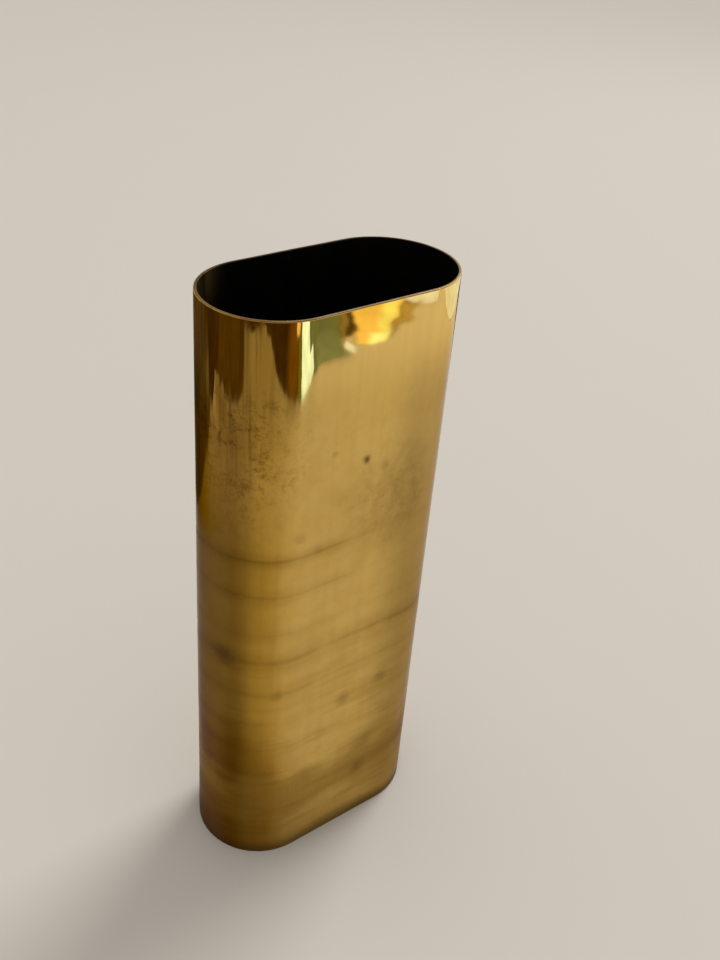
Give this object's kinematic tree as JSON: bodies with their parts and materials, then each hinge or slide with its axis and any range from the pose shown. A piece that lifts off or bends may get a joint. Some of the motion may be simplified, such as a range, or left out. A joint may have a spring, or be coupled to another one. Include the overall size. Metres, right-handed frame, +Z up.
{
  "type": "open-topped oval brass case",
  "caption": "Tall open-topped case of flat-sided oval section, bent from tarnished brass sheet, with a soldered-in floor plate and a felt pad underneath.",
  "frame": {"origin": "middle of the flat face that the case stands on", "axes": "+Z runs up the case to its open rim, X is along the flat sides, and +Y is towards the side with the brazed joint"},
  "size_m": [0.1, 0.053, 0.25],
  "materials": {
    "brass_sheet": "aged, half polished, with tarnish rings and freckles",
    "braze": "filed flush outside, as run inside",
    "brass_floor": "dull, oxidised",
    "solder": "dull grey, as run",
    "felt": "pressed wool felt"
  },
  "bodies": {
    "root": {"body_sleeve": "brass_sheet", "seam_braze": "braze", "floor_plate": "brass_floor", "floor_solder": "solder", "felt_pad": "felt"}
  },
  "joints": []
}
